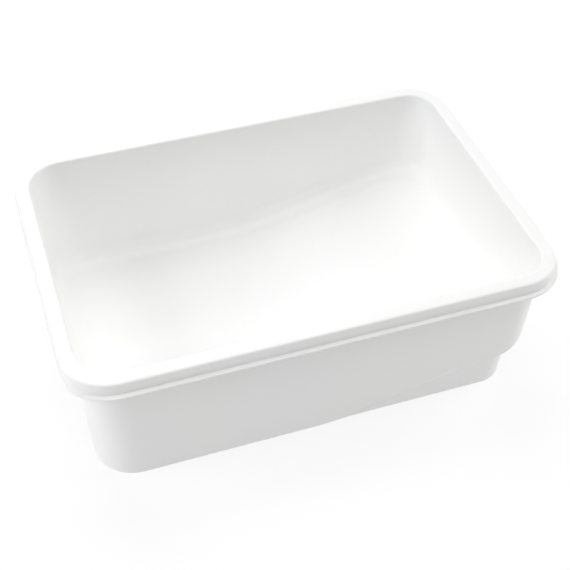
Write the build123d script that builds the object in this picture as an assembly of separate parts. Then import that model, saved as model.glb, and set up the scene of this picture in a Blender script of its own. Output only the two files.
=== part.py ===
"""Deep developing tray: one moulded shell with a flat deep floor, a ramp and a raised floor.

Millimetres, +Z up. X runs along the tray towards its raised end, Y across it.
The origin is on the table plane, under the middle of the rim.
"""

from build123d import *
from math import atan, degrees
import os

# Overall size, measured over the brim.
LENGTH = 420.0
WIDTH = 293.0
HEIGHT = 132.0

# Rim: a broad top, a short skirt hanging from its outer edge, and a brim round the skirt's foot.
RIM_CORNER_RADIUS = 43.0
RIM_TOP_WIDTH = 13.0
RIM_OUTER_ROUND = 3.0
RIM_INNER_ROUND = 2.0
SKIRT_DROP = 11.0
BRIM_REACH = 4.0
BRIM_THICKNESS = 2.4
BRIM_ROUND = 0.8

# Walls. They close in on every side on their way down, by the mould's draft, while their upright
# corners keep about the same roundness. The corners are tighter at the raised end.
WALL = 2.8
DRAFT_INSET = 5.5
DEEP_END_CORNER = 35.0
RAISED_END_CORNER = 27.0

# Floors: flat and deep, then a ramp, then flat and raised.
FLOOR_THICKNESS = 3.0
DEEP_FLOOR_Z = 10.0
RAISED_FLOOR_Z = 44.0
RAMP_START_X = -2.0
RAMP_END_X = 148.0
RAMP_BLEND_RADIUS = 110.0
COVE_RADIUS = 16.0

# The walls' lower edge follows the floors, a constant distance below them, and is rounded round the
# raised end. The foot carries on down to the table, just inside the walls along the sides and well
# inside them at the raised end.
EDGE_DROP = 11.5
END_EDGE_ROUND = 28.0
END_EDGE_START_X = 100.0
FOOT_SETBACK = 0.8
FOOT_END_X = 176.5
FOOT_END_CORNER = 26.0

BRIM_TOP = HEIGHT - SKIRT_DROP
BRIM_BOTTOM = BRIM_TOP - BRIM_THICKNESS
WALL_INSET = BRIM_REACH + RIM_TOP_WIDTH - WALL
DRAFT = degrees(atan(DRAFT_INSET / HEIGHT))
FAR = LENGTH


def rim_block(inset, low, high):
    """Upright block inside the brim's outline, between two heights."""
    outline = RectangleRounded(LENGTH - 2 * inset, WIDTH - 2 * inset, RIM_CORNER_RADIUS - inset)
    return extrude(Plane.XY.offset(low) * outline, high - low)


def wall_plan(inset, thickness):
    """Outline of the walls at one height, as a face; the corners shrink with the thickness."""
    outline = Rectangle(LENGTH - 2 * inset, WIDTH - 2 * inset)
    outline = fillet(outline.vertices().group_by(Axis.X)[0], DEEP_END_CORNER - thickness)
    return fillet(outline.vertices().group_by(Axis.X)[-1], RAISED_END_CORNER - thickness)


def wall_block(thickness):
    """Block inside the walls' outer faces, or inside a copy moved inwards by a thickness."""
    top = Plane.XY.offset(HEIGHT) * wall_plan(WALL_INSET + thickness, thickness)
    base = wall_plan(WALL_INSET + DRAFT_INSET + thickness, thickness)
    return loft([base, top], ruled=True)


def above_floor(drop):
    """Everything above a copy of the floor's profile that lies a given drop below the floor."""
    deep, raised = DEEP_FLOOR_Z - drop, RAISED_FLOOR_Z - drop
    corners = [(-FAR, deep), (RAMP_START_X, deep), (RAMP_END_X, raised), (FAR, raised)]
    with BuildSketch(Plane.XZ) as profile:
        with BuildLine():
            FilletPolyline(*corners, radius=RAMP_BLEND_RADIUS)
            Polyline(corners[-1], (FAR, FAR), (-FAR, FAR), corners[0])
        make_face()
    return extrude(profile.sketch, WIDTH, both=True)


def round_low_edges(space, radius):
    """Round the edges between a space's floor and its sides, round the outside of the floor.

    The edges left sharp are the upright ones and those that cross from side to side.
    """
    low = [e for e in space.edges() if e.center().Z < RAISED_FLOOR_Z + 1]
    across = [e for e in low if abs(e.center().Y) < 1 and abs(e.center().X) < LENGTH / 2 - 50]
    upright = [e for e in low if abs(e.tangent_at(0.5).Z) > 0.9]
    return fillet([e for e in low if e not in across + upright], radius)


def foot_block(inset):
    """Block inside the foot's faces, or inside a copy moved inwards; its far end is open-ended."""
    half = WIDTH / 2 - WALL_INSET - DRAFT_INSET - FOOT_SETBACK - inset
    end = FOOT_END_X - inset
    with BuildSketch() as outline:
        with BuildLine():
            FilletPolyline((-FAR, -half), (end, -half), (end, half), (-FAR, half), radius=FOOT_END_CORNER - inset)
            Line((-FAR, half), (-FAR, -half))
        make_face()
    return extrude(outline.sketch, RAISED_FLOOR_Z, taper=-DRAFT)


def outer_body():
    """Solid outside shape of the walls and the foot.

    The raised end is cut from a wider copy of the walls that shares their end face, so that the
    rounding of its lower edge runs round the end and its corners and dies away along the sides.
    """
    walls = wall_block(0)
    upper = walls & above_floor(EDGE_DROP)
    cut = Plane.YZ.offset(END_EDGE_START_X)
    wide = Pos(-END_EDGE_ROUND, 0) * wall_block(-END_EDGE_ROUND)
    end = split(wide & above_floor(EDGE_DROP), cut, keep=Keep.TOP)
    end = walls & round_low_edges(end, END_EDGE_ROUND)
    return split(upper, cut, keep=Keep.BOTTOM) + end + (walls & foot_block(0))


def rim():
    """Rim top, skirt and brim as one ring, open underneath."""
    top = rim_block(BRIM_REACH, BRIM_BOTTOM, HEIGHT)
    top = fillet(top.edges().group_by(Axis.Z)[-1], RIM_OUTER_ROUND)
    brim = rim_block(0, BRIM_BOTTOM, BRIM_TOP)
    brim = fillet(brim.edges().group_by(Axis.Z)[0] + brim.edges().group_by(Axis.Z)[-1], BRIM_ROUND)
    channel = rim_block(BRIM_REACH + WALL, BRIM_BOTTOM, HEIGHT - WALL)
    return top + brim - channel


bath = round_low_edges(wall_block(WALL) & above_floor(0), COVE_RADIUS)
recess = (wall_block(WALL) & foot_block(WALL)) - above_floor(FLOOR_THICKNESS)
tray = outer_body() + rim() - bath - recess
mouth = tray.faces().sort_by(Axis.Z)[-1].inner_wires()[0]
tray = fillet(mouth.edges(), RIM_INNER_ROUND)

os.makedirs("parts", exist_ok=True)
export_step(tray, "parts/tray.step")
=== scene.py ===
import math

import bpy
from mathutils import Matrix, Vector, noise


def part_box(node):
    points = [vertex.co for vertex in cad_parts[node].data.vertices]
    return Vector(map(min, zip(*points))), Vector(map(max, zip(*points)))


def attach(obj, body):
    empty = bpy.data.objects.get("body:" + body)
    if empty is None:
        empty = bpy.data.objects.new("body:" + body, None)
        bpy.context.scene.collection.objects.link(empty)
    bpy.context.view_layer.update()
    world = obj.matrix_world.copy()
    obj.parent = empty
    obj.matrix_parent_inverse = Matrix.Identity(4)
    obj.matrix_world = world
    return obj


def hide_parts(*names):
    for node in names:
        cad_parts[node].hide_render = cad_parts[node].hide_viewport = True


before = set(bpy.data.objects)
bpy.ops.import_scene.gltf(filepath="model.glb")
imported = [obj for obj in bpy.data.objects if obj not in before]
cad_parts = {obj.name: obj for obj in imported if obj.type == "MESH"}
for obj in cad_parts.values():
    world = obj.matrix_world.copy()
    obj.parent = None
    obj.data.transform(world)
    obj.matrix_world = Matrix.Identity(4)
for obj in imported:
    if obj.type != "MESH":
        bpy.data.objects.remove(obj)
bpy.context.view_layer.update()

# The CAD box, kept before any piece is made.
HALF_LENGTH, HALF_WIDTH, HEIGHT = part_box("tray")[1]

# Rim, in metres. Insets are measured inwards from the brim's outline.
RIM_CORNER = 0.043
RIM_CROWN = 0.0004
RIM_CROWN_AT = 0.25
MOUTH_DROP = RIM_CROWN / 6
RIM_INNER_ROUND = 0.0018
RIM_OUTER_ROUND = 0.0021
RIM_TOP_OUTER = 0.0064
SKIRT_INSET = 0.0040
SKIRT_LEAN = 0.0003
SKIRT_FOOT_ROUND = 0.0009
SKIRT_INSIDE = 0.0068
BRIM_TOP = HEIGHT - 0.0110
BRIM_BOTTOM = BRIM_TOP - 0.0024
BRIM_ROUND = 0.0009
BRIM_MIDDLE = 0.0019
CHANNEL_TOP = HEIGHT - 0.0028
CHANNEL_MIDDLE = 0.0104
CHANNEL_ROUND = 0.0012

# Walls and floors.
WALL = 0.0028
WALL_INSET = 0.0142
DRAFT_INSET = 0.0055
DEEP_CORNER = 0.035
RAISED_CORNER = 0.027
DEEP_FLOOR = 0.010
RAISED_FLOOR = 0.044
FLOOR_THICKNESS = 0.003
RAMP_START = -0.002
RAMP_END = 0.148
RAMP_BLEND = 0.110
COVE = 0.016

# Lower edge of the walls, and the foot that stands inside it.
EDGE_DROP = 0.0115
EDGE_LOWEST = 0.0035
EDGE_SOFTNESS = 0.0004
END_EDGE_ROUND = 0.028
STEP_FROM, STEP_FULL = -0.004, 0.030
SIDE_ROLL = 0.007
ROLL_FADES_FROM, ROLL_GONE = 0.125, 0.165
FOOT_SETBACK = 0.0016
FOOT_END = 0.1765
FOOT_CORNER = 0.026
FOOT_EDGE_ROUND = 0.0006
RECESS_ROUND = 0.0025

# How many segments run along a side, across an end and round a corner, and the parts of the sides
# and ends that are straight in every outline.
SIDE_SEGMENTS, END_SEGMENTS, CORNER_SEGMENTS = 38, 22, 14
SIDE_FROM, SIDE_TO = -0.150, 0.146
END_HALF_DEEP, END_HALF_RAISED = 0.088, 0.097

# Rings this near a sharp edge keep the smoothing from rounding it, and where there is no step to
# the foot its rings are spread this far down the wall.
EDGE_HOLD, SHARP_HOLD = 0.0004, 0.0001
SPREAD = 0.0016

# The moulding isn't perfectly flat: how far its broad faces wander, over what distance, how far
# apart in the noise its three axes are, and the heights between which it starts above the base
# and dies out below the rim.
WAVE_HEIGHT, WAVE_LENGTH = 0.00022, 0.075
WAVE_AXES_APART = (0.0, 31.0, 67.0)
WAVE_STARTS, WAVE_FULL = 0.0, 0.02
WAVE_FADES, WAVE_GONE = 0.095, 0.115

# Studio, in metres and watts.
FLOOR_SIZE = 80.0
FLOOR_GLOW = 0.71
LIGHTS_AIM = (0.0, 0.0, 0.05)
SOFTBOXES = (
    ("back_top_softbox", (0.0, 0.9, 1.7), 1.4, 12.4),
    ("front_top_softbox", (0.0, -0.9, 1.7), 1.2, 11.8),
    ("back_softbox", (0.0, 1.8, 0.8), 1.2, 8.0),
    ("left_softbox", (-1.6, 0.0, 1.0), 1.2, 18.5),
    ("right_softbox", (1.6, 0.0, 1.0), 1.2, 17.0),
)

# The camera: where it stands, how far it is turned right, pitched down and rolled, and its lens.
CAMERA_PLACE = Vector((-0.2265, -0.6844, 0.7600))
CAMERA_TURN, CAMERA_PITCH, CAMERA_ROLL = math.radians(18.96), math.radians(44.58), 0.0102
CAMERA_LENS, CAMERA_SENSOR = 70.95, 36.0


def mix(a, b, t):
    return a + (b - a) * t


def smooth(a, b, x):
    t = min(max((x - a) / (b - a), 0.0), 1.0)
    return t * t * (3 - 2 * t)


def bend(x, at, reach):
    """0 at first, then a slope of 1 from at onwards, joined by an arc of the given half-length."""
    t = min(max(x - at + reach, 0.0), 2 * reach)
    return t * t / (4 * reach) + max(x - at - reach, 0.0)


def floor_height(x):
    """Top of the bath's floor: deep and flat, a ramp with rounded ends, raised and flat."""
    slope = (RAISED_FLOOR - DEEP_FLOOR) / (RAMP_END - RAMP_START)
    reach = RAMP_BLEND * slope / 2
    return DEEP_FLOOR + slope * (bend(x, RAMP_START, reach) - bend(x, RAMP_END, reach))


def drafted(z):
    """How far the walls have closed in at a height."""
    return DRAFT_INSET * (1 - z / HEIGHT)


def step_depth(x):
    """How far the foot stands inside the walls along the sides: nothing at the deep end."""
    return FOOT_SETBACK * smooth(STEP_FROM, STEP_FULL, x)


def end_depth(x, y, z):
    """Distance inside a wider copy of the walls that shares the raised end's face."""
    inset = WALL_INSET + drafted(z)
    end = HALF_LENGTH - inset
    side = HALF_WIDTH - inset + END_EDGE_ROUND
    radius = RAISED_CORNER + END_EDGE_ROUND
    dx, dy = x - (end - radius), abs(y) - (side - radius)
    if dx > 0 and dy > 0:
        return radius - math.hypot(dx, dy)
    return min(end - x, side - abs(y))


def edge_height(x, y, z):
    """Height of the walls' lower edge above a point seen from above, near the height z."""
    follow = floor_height(x) - EDGE_DROP - EDGE_LOWEST
    low = EDGE_LOWEST + (follow + math.sqrt(follow * follow + EDGE_SOFTNESS**2)) / 2
    depth = min(max(end_depth(x, y, z), 0.0), END_EDGE_ROUND)
    rise = END_EDGE_ROUND - math.sqrt(END_EDGE_ROUND**2 - (END_EDGE_ROUND - depth) ** 2)
    return low + rise


def rolled_height(x, y, z):
    """Height where the walls begin to roll in to their lower edge, along the sides only."""
    roll = smooth(STEP_FROM, STEP_FULL, x) * (1 - smooth(ROLL_FADES_FROM, ROLL_GONE, x))
    return edge_height(x, y, z) + SIDE_ROLL * roll


def crown_drop(share):
    """How far the rim's top lies under its highest line, from the mouth (0) to its outer side (1)."""
    if share <= RIM_CROWN_AT:
        return MOUTH_DROP * (1 - share / RIM_CROWN_AT) ** 2
    return RIM_CROWN * ((share - RIM_CROWN_AT) / (1 - RIM_CROWN_AT)) ** 1.5


def list_stations():
    """Stations round an outline, anticlockwise from the deep end of the front side.

    Each is a zone, a place in it from 0 to 1, and -1 or 1 for the front or back half of the tray.
    """
    stations = []
    for zone, segments, rising, half in (
        ("side", SIDE_SEGMENTS, True, -1),
        ("raised corner", CORNER_SEGMENTS, True, -1),
        ("raised end", END_SEGMENTS, True, -1),
        ("raised corner", CORNER_SEGMENTS, False, 1),
        ("side", SIDE_SEGMENTS, False, 1),
        ("deep corner", CORNER_SEGMENTS, True, 1),
        ("deep end", END_SEGMENTS, True, 1),
        ("deep corner", CORNER_SEGMENTS, False, -1),
    ):
        for step in range(segments):
            place = step / segments
            stations.append((zone, place if rising else 1 - place, half))
    return stations


STATIONS = list_stations()


def around_corner(t, end, half_width, radius, side_start, end_half):
    """Point of a corner zone: a straight stretch of side, the corner's arc, a stretch of end."""
    run_in = end - radius - side_start
    arc = radius * math.pi / 2
    run_out = half_width - radius - end_half
    along = t * (run_in + arc + run_out)
    if along <= run_in:
        return side_start + along, half_width
    if along >= run_in + arc:
        return end, half_width - radius - (along - run_in - arc)
    angle = (along - run_in) / radius
    x = end - radius + radius * math.sin(angle)
    return x, half_width - radius + radius * math.cos(angle)


class Outline:
    """Rounded rectangle seen from above, with a corner radius for each end."""

    def __init__(self, deep, raised, half_width, deep_radius, raised_radius):
        self.deep, self.raised, self.half_width = deep, raised, half_width
        self.deep_radius, self.raised_radius = deep_radius, raised_radius

    def at(self, station):
        zone, t, half = station
        if zone == "side":
            x, y = mix(SIDE_FROM, SIDE_TO, t), self.half_width
        elif zone == "raised end":
            x, y = self.raised, mix(END_HALF_RAISED, -END_HALF_RAISED, t)
        elif zone == "deep end":
            x, y = -self.deep, mix(END_HALF_DEEP, -END_HALF_DEEP, t)
        elif zone == "raised corner":
            shape = (self.raised, self.half_width, self.raised_radius)
            x, y = around_corner(t, *shape, SIDE_TO, END_HALF_RAISED)
        else:
            shape = (self.deep, self.half_width, self.deep_radius)
            x, y = around_corner(t, *shape, -SIDE_FROM, END_HALF_DEEP)
            x = -x
        return x, y * half


def rim_outline(inset):
    radius = RIM_CORNER - inset
    return Outline(HALF_LENGTH - inset, HALF_LENGTH - inset, HALF_WIDTH - inset, radius, radius)


def wall_outline(z, inwards=0.0):
    """The walls' outer outline at a height, moved inwards."""
    inset = WALL_INSET + drafted(z) + inwards
    length, width = HALF_LENGTH - inset, HALF_WIDTH - inset
    return Outline(length, length, width, DEEP_CORNER - inwards, RAISED_CORNER - inwards)


def foot_outline(z, setback, inwards=0.0):
    """The foot's outer outline at a height, moved inwards."""
    lean = DRAFT_INSET - drafted(z)
    deep = HALF_LENGTH - WALL_INSET - drafted(z) - inwards
    raised = FOOT_END + lean - inwards
    width = HALF_WIDTH - WALL_INSET - drafted(z) - setback - inwards
    return Outline(deep, raised, width, DEEP_CORNER - inwards, FOOT_CORNER - inwards)


def settled_ring(outline_at, height_at):
    """One ring of points. Where the height varies along it, each point settles in a few rounds."""
    points = []
    for station in STATIONS:
        z = DEEP_FLOOR
        for _ in range(6):
            x, y = outline_at(z).at(station)
            z = height_at(x, y, z)
        x, y = outline_at(z).at(station)
        points.append((x, y, z))
    return points


def flat_ring(outline, z):
    return [(*outline.at(station), z) for station in STATIONS]


def angles(count, first=0):
    """Angles from 0 to a right angle in equal steps, without those before first."""
    return [math.pi / 2 * k / count for k in range(first, count + 1)]


def bath_rings():
    """The cove round the bath's floor, then the walls' inner faces up to the mouth's round."""
    rings = []
    for angle in angles(8):
        inwards = WALL + COVE * (1 - math.sin(angle))
        lift = COVE * (1 - math.cos(angle))
        ring = settled_ring(
            lambda z: wall_outline(z, inwards),
            lambda x, y, z: floor_height(x) + lift,
        )
        rings.append(ring)
    mouth_top = HEIGHT - MOUTH_DROP
    mouth_low = mouth_top - RIM_INNER_ROUND
    for share in (0.03, 0.12, 0.25, 0.4, 0.55, 0.7, 0.84, 0.95, 0.99):
        ring = settled_ring(
            lambda z: wall_outline(z, WALL),
            lambda x, y, z: mix(floor_height(x) + COVE, mouth_low, share),
        )
        rings.append(ring)
    for angle in angles(4):
        z = mouth_low + RIM_INNER_ROUND * math.sin(angle)
        inwards = WALL - RIM_INNER_ROUND * (1 - math.cos(angle))
        rings.append(flat_ring(wall_outline(z, inwards), z))
    return rings


def rim_top_rings(mouth_ring):
    """Rim top, a little crowned, from the mouth's ring out to the start of the outer round."""
    rings = []
    outer = rim_outline(RIM_TOP_OUTER)
    for share in (0.06, 0.14, RIM_CROWN_AT, 0.38, 0.53, 0.7, 0.87, 1.0):
        z = HEIGHT - crown_drop(share)
        points = []
        for station, (x, y, _) in zip(STATIONS, mouth_ring):
            outer_x, outer_y = outer.at(station)
            points.append((mix(x, outer_x, share), mix(y, outer_y, share), z))
        rings.append(points)
    return rings


def skirt_and_brim_rings():
    """Outer round of the rim, its skirt, and the brim with its rounded edge."""
    rings = []
    shoulder = HEIGHT - RIM_CROWN - RIM_OUTER_ROUND
    for angle in angles(5, first=1):
        inset = RIM_TOP_OUTER - (RIM_TOP_OUTER - SKIRT_INSET - SKIRT_LEAN) * math.sin(angle)
        rings.append(flat_ring(rim_outline(inset), shoulder + RIM_OUTER_ROUND * math.cos(angle)))
    skirt_foot = BRIM_TOP + SKIRT_FOOT_ROUND
    for share in (0.1, 0.35, 0.65, 0.9):
        inset = SKIRT_INSET + SKIRT_LEAN * (1 - share)
        rings.append(flat_ring(rim_outline(inset), mix(shoulder, skirt_foot, share)))
    for angle in angles(3):
        inset = SKIRT_INSET - SKIRT_FOOT_ROUND * (1 - math.cos(angle))
        rings.append(flat_ring(rim_outline(inset), skirt_foot - SKIRT_FOOT_ROUND * math.sin(angle)))
    rings.append(flat_ring(rim_outline(BRIM_MIDDLE), BRIM_TOP))
    for angle in angles(3):
        inset = BRIM_ROUND * (1 - math.sin(angle))
        rings.append(flat_ring(rim_outline(inset), BRIM_TOP - BRIM_ROUND * (1 - math.cos(angle))))
    for angle in angles(3):
        inset = BRIM_ROUND * (1 - math.cos(angle))
        rings.append(flat_ring(rim_outline(inset), BRIM_BOTTOM + BRIM_ROUND * (1 - math.sin(angle))))
    return rings


def channel_rings():
    """Under the rim: the brim's underside, the skirt's inside, the channel's ceiling."""
    rings = []
    for inset in (0.0022, 0.0042, SKIRT_INSIDE - 0.0006, SKIRT_INSIDE - SHARP_HOLD):
        rings.append(flat_ring(rim_outline(inset), BRIM_BOTTOM))
    for z in (BRIM_BOTTOM + EDGE_HOLD, BRIM_BOTTOM + 0.002, CHANNEL_TOP - 0.003):
        rings.append(flat_ring(rim_outline(SKIRT_INSIDE), z))
    for angle in angles(3):
        inset = SKIRT_INSIDE + CHANNEL_ROUND * (1 - math.cos(angle))
        rings.append(flat_ring(rim_outline(inset), CHANNEL_TOP - CHANNEL_ROUND * (1 - math.sin(angle))))
    rings.append(flat_ring(rim_outline(CHANNEL_MIDDLE), CHANNEL_TOP))
    for angle in angles(3):
        outwards = CHANNEL_ROUND * (1 - math.sin(angle))
        z = CHANNEL_TOP - CHANNEL_ROUND * (1 - math.cos(angle))
        rings.append(flat_ring(wall_outline(z, -outwards), z))
    return rings


def outer_wall_rings():
    """Outer walls, down to where they roll in or end."""
    top = CHANNEL_TOP - CHANNEL_ROUND
    rings = []
    for share in (0.03, 0.08, 0.16, 0.28, 0.4, 0.52, 0.64, 0.76, 0.87, 0.95, 0.985, 0.997, 1.0):
        rings.append(settled_ring(wall_outline, lambda x, y, z: mix(top, rolled_height(x, y, z), share)))
    return rings


def step_rings(wall_ring):
    """The step from the walls' lower edge in to the foot.

    Where there is no step the rings lie a little apart down the wall instead of on each other.
    """
    foot_points = []
    for station, (x, y, z) in zip(STATIONS, wall_ring):
        low = edge_height(x, y, z)
        foot_x, foot_y = foot_outline(low, step_depth(x)).at(station)
        foot_points.append((foot_x, foot_y, z - low))
    rings = []
    for angle in angles(10, first=1):
        share = 1 - math.cos(angle)
        points = []
        for (x, y, z), (foot_x, foot_y, roll) in zip(wall_ring, foot_points):
            inner_x, inner_y = mix(x, foot_x, share), mix(y, foot_y, share)
            low = edge_height(inner_x, inner_y, z - roll)
            spread = SPREAD * share * (1 - smooth(STEP_FROM, STEP_FULL, x))
            points.append((inner_x, inner_y, low + roll * (1 - math.sin(angle)) - spread))
        rings.append(points)
    return rings


def foot_rings(wall_ring, step_ring):
    """Outer face of the foot and the outer half of its rounded lower edge."""
    depths = [step_depth(x) for x, _, _ in wall_ring]
    rings = []
    for share in (0.03, 0.12, 0.35, 0.6, 0.85, 1.0):
        points = []
        for station, (_, _, top), depth in zip(STATIONS, step_ring, depths):
            z = mix(top, FOOT_EDGE_ROUND, share)
            points.append((*foot_outline(z, depth).at(station), z))
        rings.append(points)
    for angle in angles(3, first=1):
        inwards = FOOT_EDGE_ROUND * (1 - math.cos(angle))
        z = FOOT_EDGE_ROUND * (1 - math.sin(angle))
        points = []
        for station, depth in zip(STATIONS, depths):
            points.append((*foot_outline(z, depth, inwards).at(station), z))
        rings.append(points)
    return rings


def recess_rings():
    """Inner half of the foot's lower edge, and the recess up to the floors' underside."""
    rings = []
    for angle in angles(3):
        inwards = WALL - FOOT_EDGE_ROUND * (1 - math.sin(angle))
        z = FOOT_EDGE_ROUND * (1 - math.cos(angle))
        rings.append(flat_ring(foot_outline(z, FOOT_SETBACK, inwards), z))
    ceiling = FLOOR_THICKNESS + RECESS_ROUND
    for share in (0.15, 0.5, 0.85):
        ring = settled_ring(
            lambda z: foot_outline(z, FOOT_SETBACK, WALL),
            lambda x, y, z: mix(FOOT_EDGE_ROUND, floor_height(x) - ceiling, share),
        )
        rings.append(ring)
    for angle in angles(4):
        inwards = WALL + RECESS_ROUND * (1 - math.cos(angle))
        lower = FLOOR_THICKNESS + RECESS_ROUND * (1 - math.sin(angle))
        ring = settled_ring(
            lambda z: foot_outline(z, FOOT_SETBACK, inwards),
            lambda x, y, z: floor_height(x) - lower,
        )
        rings.append(ring)
    return rings


def all_rings():
    """Every ring of the shell, from the bath's floor over the rim and down to the underside."""
    rings = bath_rings()
    rings += rim_top_rings(rings[-1])
    rings += skirt_and_brim_rings()
    rings += channel_rings()
    rings += outer_wall_rings()
    wall_ring = rings[-1]
    rings += step_rings(wall_ring)
    rings += foot_rings(wall_ring, rings[-1])
    rings += recess_rings()
    return rings


def patch(ring, height_at):
    """Grid that fills a ring, cornered at the middle of each rounded corner.

    Returns rows. An entry on the border is a number in the ring, any other is a point, blended
    between the ring's four sides.
    """
    half = CORNER_SEGMENTS // 2
    along, across = SIDE_SEGMENTS + CORNER_SEGMENTS, END_SEGMENTS + CORNER_SEGMENTS
    count = len(ring)
    front = [(k - half) % count for k in range(along + 1)]
    raised = [(along - half + k) % count for k in range(across + 1)]
    back = [(2 * along + across - half - k) % count for k in range(along + 1)]
    deep = [(2 * along + 2 * across - half - k) % count for k in range(across + 1)]

    def blended(i, j):
        u, v = i / along, j / across
        place = []
        for axis in (0, 1):
            line_f, line_b = ring[front[i]][axis], ring[back[i]][axis]
            line_d, line_r = ring[deep[j]][axis], ring[raised[j]][axis]
            corners = [ring[line[k]][axis] for line in (front, back) for k in (0, -1)]
            low, high = mix(corners[0], corners[1], u), mix(corners[2], corners[3], u)
            place.append(mix(line_f, line_b, v) + mix(line_d, line_r, u) - mix(low, high, v))
        return (*place, height_at(*place))

    rows = [front]
    for j in range(1, across):
        rows.append([deep[j], *(blended(i, j) for i in range(1, along)), raised[j]])
    rows.append(back)
    return rows


def build_tray():
    """One closed mesh: all rings joined in order, with a patch at each end."""
    rings = all_rings()
    count = len(STATIONS)
    vertices = [point for points in rings for point in points]
    faces = []
    for k in range(len(rings) - 1):
        a, b = k * count, (k + 1) * count
        for i in range(count):
            j = (i + 1) % count
            faces.append((a + i, b + i, b + j, a + j))
    last = (len(rings) - 1) * count
    bath_floor = patch(rings[0], lambda x, y: floor_height(x))
    underside = patch(rings[-1], lambda x, y: floor_height(x) - FLOOR_THICKNESS)
    for rows, base, turned in ((bath_floor, 0, False), (underside, last, True)):
        grid = []
        for row in rows:
            numbers = []
            for entry in row:
                if isinstance(entry, int):
                    numbers.append(base + entry)
                else:
                    numbers.append(len(vertices))
                    vertices.append(entry)
            grid.append(numbers)
        for j in range(len(grid) - 1):
            for i in range(len(grid[0]) - 1):
                face = (grid[j][i], grid[j][i + 1], grid[j + 1][i + 1], grid[j + 1][i])
                faces.append(face[::-1] if turned else face)
    mesh = bpy.data.meshes.new("tray_shell")
    mesh.from_pydata(vertices, [], faces)
    mesh.update()
    mesh.shade_smooth()
    tray = bpy.data.objects.new("tray_shell", mesh)
    bpy.context.scene.collection.objects.link(tray)
    return tray


def wander(place):
    """Smooth shift at a place, an axis at a time: noise_vector isn't the same in every run."""
    return Vector([noise.noise(place + Vector((apart, 0.0, 0.0))) for apart in WAVE_AXES_APART])


def warp(tray):
    """Let the broad faces wander as a cooled moulding's do; the rim, brim and base stay put."""
    for vertex in tray.data.vertices:
        z = vertex.co.z
        share = smooth(WAVE_STARTS, WAVE_FULL, z) * (1 - smooth(WAVE_FADES, WAVE_GONE, z))
        vertex.co += wander(vertex.co / WAVE_LENGTH) * WAVE_HEIGHT * share


class Nodes:
    """Short calls for building a node tree."""

    def __init__(self, tree):
        self.tree = tree
        tree.nodes.clear()

    def add(self, kind, settings=(), **inputs):
        """New shader node. An input is named, or numbered as i0, i1 and so on."""
        node = self.tree.nodes.new("ShaderNode" + kind)
        for key, value in dict(settings).items():
            setattr(node, key, value)
        for key, value in inputs.items():
            numbered = key[0] == "i" and key[1:].isdigit()
            socket = node.inputs[int(key[1:]) if numbered else key]
            if isinstance(value, bpy.types.NodeSocket):
                self.tree.links.new(value, socket)
            else:
                socket.default_value = value
        return node

    def noise(self, vector, scale, detail=3.0, roughness=0.5):
        node = self.add("TexNoise", Vector=vector, Scale=scale, Detail=detail, Roughness=roughness)
        return node.outputs["Fac"]

    def ranged(self, value, low, high, to_low, to_high):
        """The value's stretch from low to high mapped onto to_low to to_high, and held beyond it."""
        node = self.add("MapRange", i0=value, i1=low, i2=high, i3=to_low, i4=to_high)
        return node.outputs[0]

    def math(self, operation, a, b=0.0):
        return self.add("Math", {"operation": operation}, i0=a, i1=b).outputs[0]

    def bump(self, height, strength, distance, under=None, sunk=False):
        """Relief of a height, on top of another relief where one is given."""
        inputs = {"Height": height, "Strength": strength, "Distance": distance}
        if under is not None:
            inputs["Normal"] = under
        return self.add("Bump", {"invert": sunk}, **inputs).outputs[0]


def scuff_lines(n, place):
    """Short fine lines in two directions, only in scattered patches."""
    lines = []
    for turn, stretch in ((0.4, 900.0), (-1.1, 700.0)):
        scale = (18.0, stretch, 60.0)
        turned = n.add("Mapping", Vector=place, Rotation=(0.0, 0.0, turn), Scale=scale)
        streaks = n.noise(turned.outputs[0], scale=1.0, detail=1.0)
        lines.append(n.ranged(streaks, 0.66, 0.74, 0.0, 1.0))
    patches = n.ranged(n.noise(place, scale=14.0, detail=2.0), 0.52, 0.68, 0.0, 1.0)
    return n.math("MULTIPLY", n.math("MAXIMUM", *lines), patches)


def moulded_plastic():
    """White satin plastic: faint mottling, moulding ripple, fine grain, uneven gloss and scuffs."""
    material = bpy.data.materials.new("moulded_plastic")
    material.use_nodes = True
    n = Nodes(material.node_tree)
    place = n.add("TexCoord").outputs["Object"]

    # Colour: slow drift between a cool and a warm white, and fine mottling.
    drift = n.noise(place, scale=7.0, detail=2.0)
    mottle = n.noise(place, scale=160.0, detail=4.0, roughness=0.6)
    blend = n.math("ADD", n.math("MULTIPLY", drift, 0.75), n.math("MULTIPLY", mottle, 0.25))
    tone = n.add("ValToRGB", Fac=n.ranged(blend, 0.35, 0.65, 0.0, 1.0))
    tone.color_ramp.elements[0].color = (0.925, 0.932, 0.927, 1.0)
    tone.color_ramp.elements[1].color = (0.944, 0.942, 0.933, 1.0)

    # Roughness: satin, uneven, duller where scuffed.
    scuffs = scuff_lines(n, place)
    cloud = n.noise(place, scale=24.0, detail=4.0, roughness=0.6)
    gloss = n.ranged(cloud, 0.3, 0.7, 0.30, 0.42)
    rough = n.math("ADD", gloss, n.math("MULTIPLY", scuffs, 0.18))

    # Relief: slow ripple left by the mould, fine satin grain, and the scuffs sunk into it.
    ripple = n.bump(n.noise(place, scale=38.0, detail=1.0), 0.35, 0.0006)
    grain = n.bump(n.noise(place, scale=1300.0, detail=2.0, roughness=0.7), 0.30, 0.00006, ripple)
    relief = n.bump(scuffs, 0.35, 0.00005, grain, sunk=True)

    shader = n.add("BsdfPrincipled", Roughness=rough, Normal=relief, IOR=1.49)
    shader.inputs["Specular IOR Level"].default_value = 0.5
    n.tree.links.new(tone.outputs[0], shader.inputs["Base Color"])
    n.add("OutputMaterial", Surface=shader.outputs[0])
    return material


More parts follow.
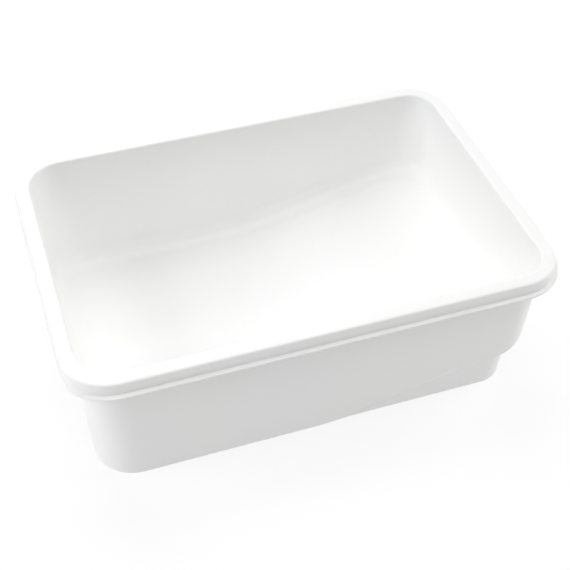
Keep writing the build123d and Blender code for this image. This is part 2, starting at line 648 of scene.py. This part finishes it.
def white_floor():
    """Plain pale floor, wide enough for every view, that glows like a lit sweep."""
    bpy.ops.mesh.primitive_plane_add(size=FLOOR_SIZE)
    floor = bpy.context.object
    floor.name = "studio_floor"
    material = bpy.data.materials.new("studio_white")
    material.use_nodes = True
    shader = material.node_tree.nodes["Principled BSDF"]
    shader.inputs["Base Color"].default_value = (0.3, 0.3, 0.3, 1.0)
    shader.inputs["Roughness"].default_value = 0.9
    shader.inputs["Specular IOR Level"].default_value = 0.0
    shader.inputs["Emission Color"].default_value = (1.0, 1.0, 1.0, 1.0)
    shader.inputs["Emission Strength"].default_value = FLOOR_GLOW
    floor.data.materials.append(material)


def softbox(name, place, side, power):
    """Square soft light, aimed at the tray."""
    light = bpy.data.lights.new(name, "AREA")
    light.shape = "SQUARE"
    light.size = side
    light.energy = power
    lamp = bpy.data.objects.new(name, light)
    lamp.location = place
    lamp.rotation_mode = "QUATERNION"
    lamp.rotation_quaternion = (Vector(LIGHTS_AIM) - Vector(place)).to_track_quat("-Z", "Y")
    bpy.context.scene.collection.objects.link(lamp)


def dark_world():
    """No light but the floor's and the softboxes'."""
    world = bpy.data.worlds.new("studio")
    world.use_nodes = True
    world.node_tree.nodes["Background"].inputs["Strength"].default_value = 0.0
    bpy.context.scene.world = world


def place_camera():
    forward = Vector((
        math.sin(CAMERA_TURN) * math.cos(CAMERA_PITCH),
        math.cos(CAMERA_TURN) * math.cos(CAMERA_PITCH),
        -math.sin(CAMERA_PITCH),
    ))
    level = Vector((math.cos(CAMERA_TURN), -math.sin(CAMERA_TURN), 0.0))
    right = level * math.cos(CAMERA_ROLL) + level.cross(forward) * math.sin(CAMERA_ROLL)
    lens = bpy.data.cameras.new("camera")
    lens.lens = CAMERA_LENS
    lens.sensor_width = CAMERA_SENSOR
    camera = bpy.data.objects.new("camera", lens)
    bpy.context.scene.collection.objects.link(camera)
    rotation = Matrix((right, right.cross(forward).normalized(), -forward)).transposed()
    camera.matrix_world = Matrix.Translation(CAMERA_PLACE) @ rotation.to_4x4()
    bpy.context.scene.camera = camera


tray = build_tray()
warp(tray)
smoothing = tray.modifiers.new("smoothing", "SUBSURF")
smoothing.levels = 1
smoothing.render_levels = 1
tray.data.materials.append(moulded_plastic())
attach(tray, "root")
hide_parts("tray")

white_floor()
for name, place, side, power in SOFTBOXES:
    softbox(name, place, side, power)
dark_world()
bpy.context.scene.view_settings.view_transform = "Standard"
place_camera()
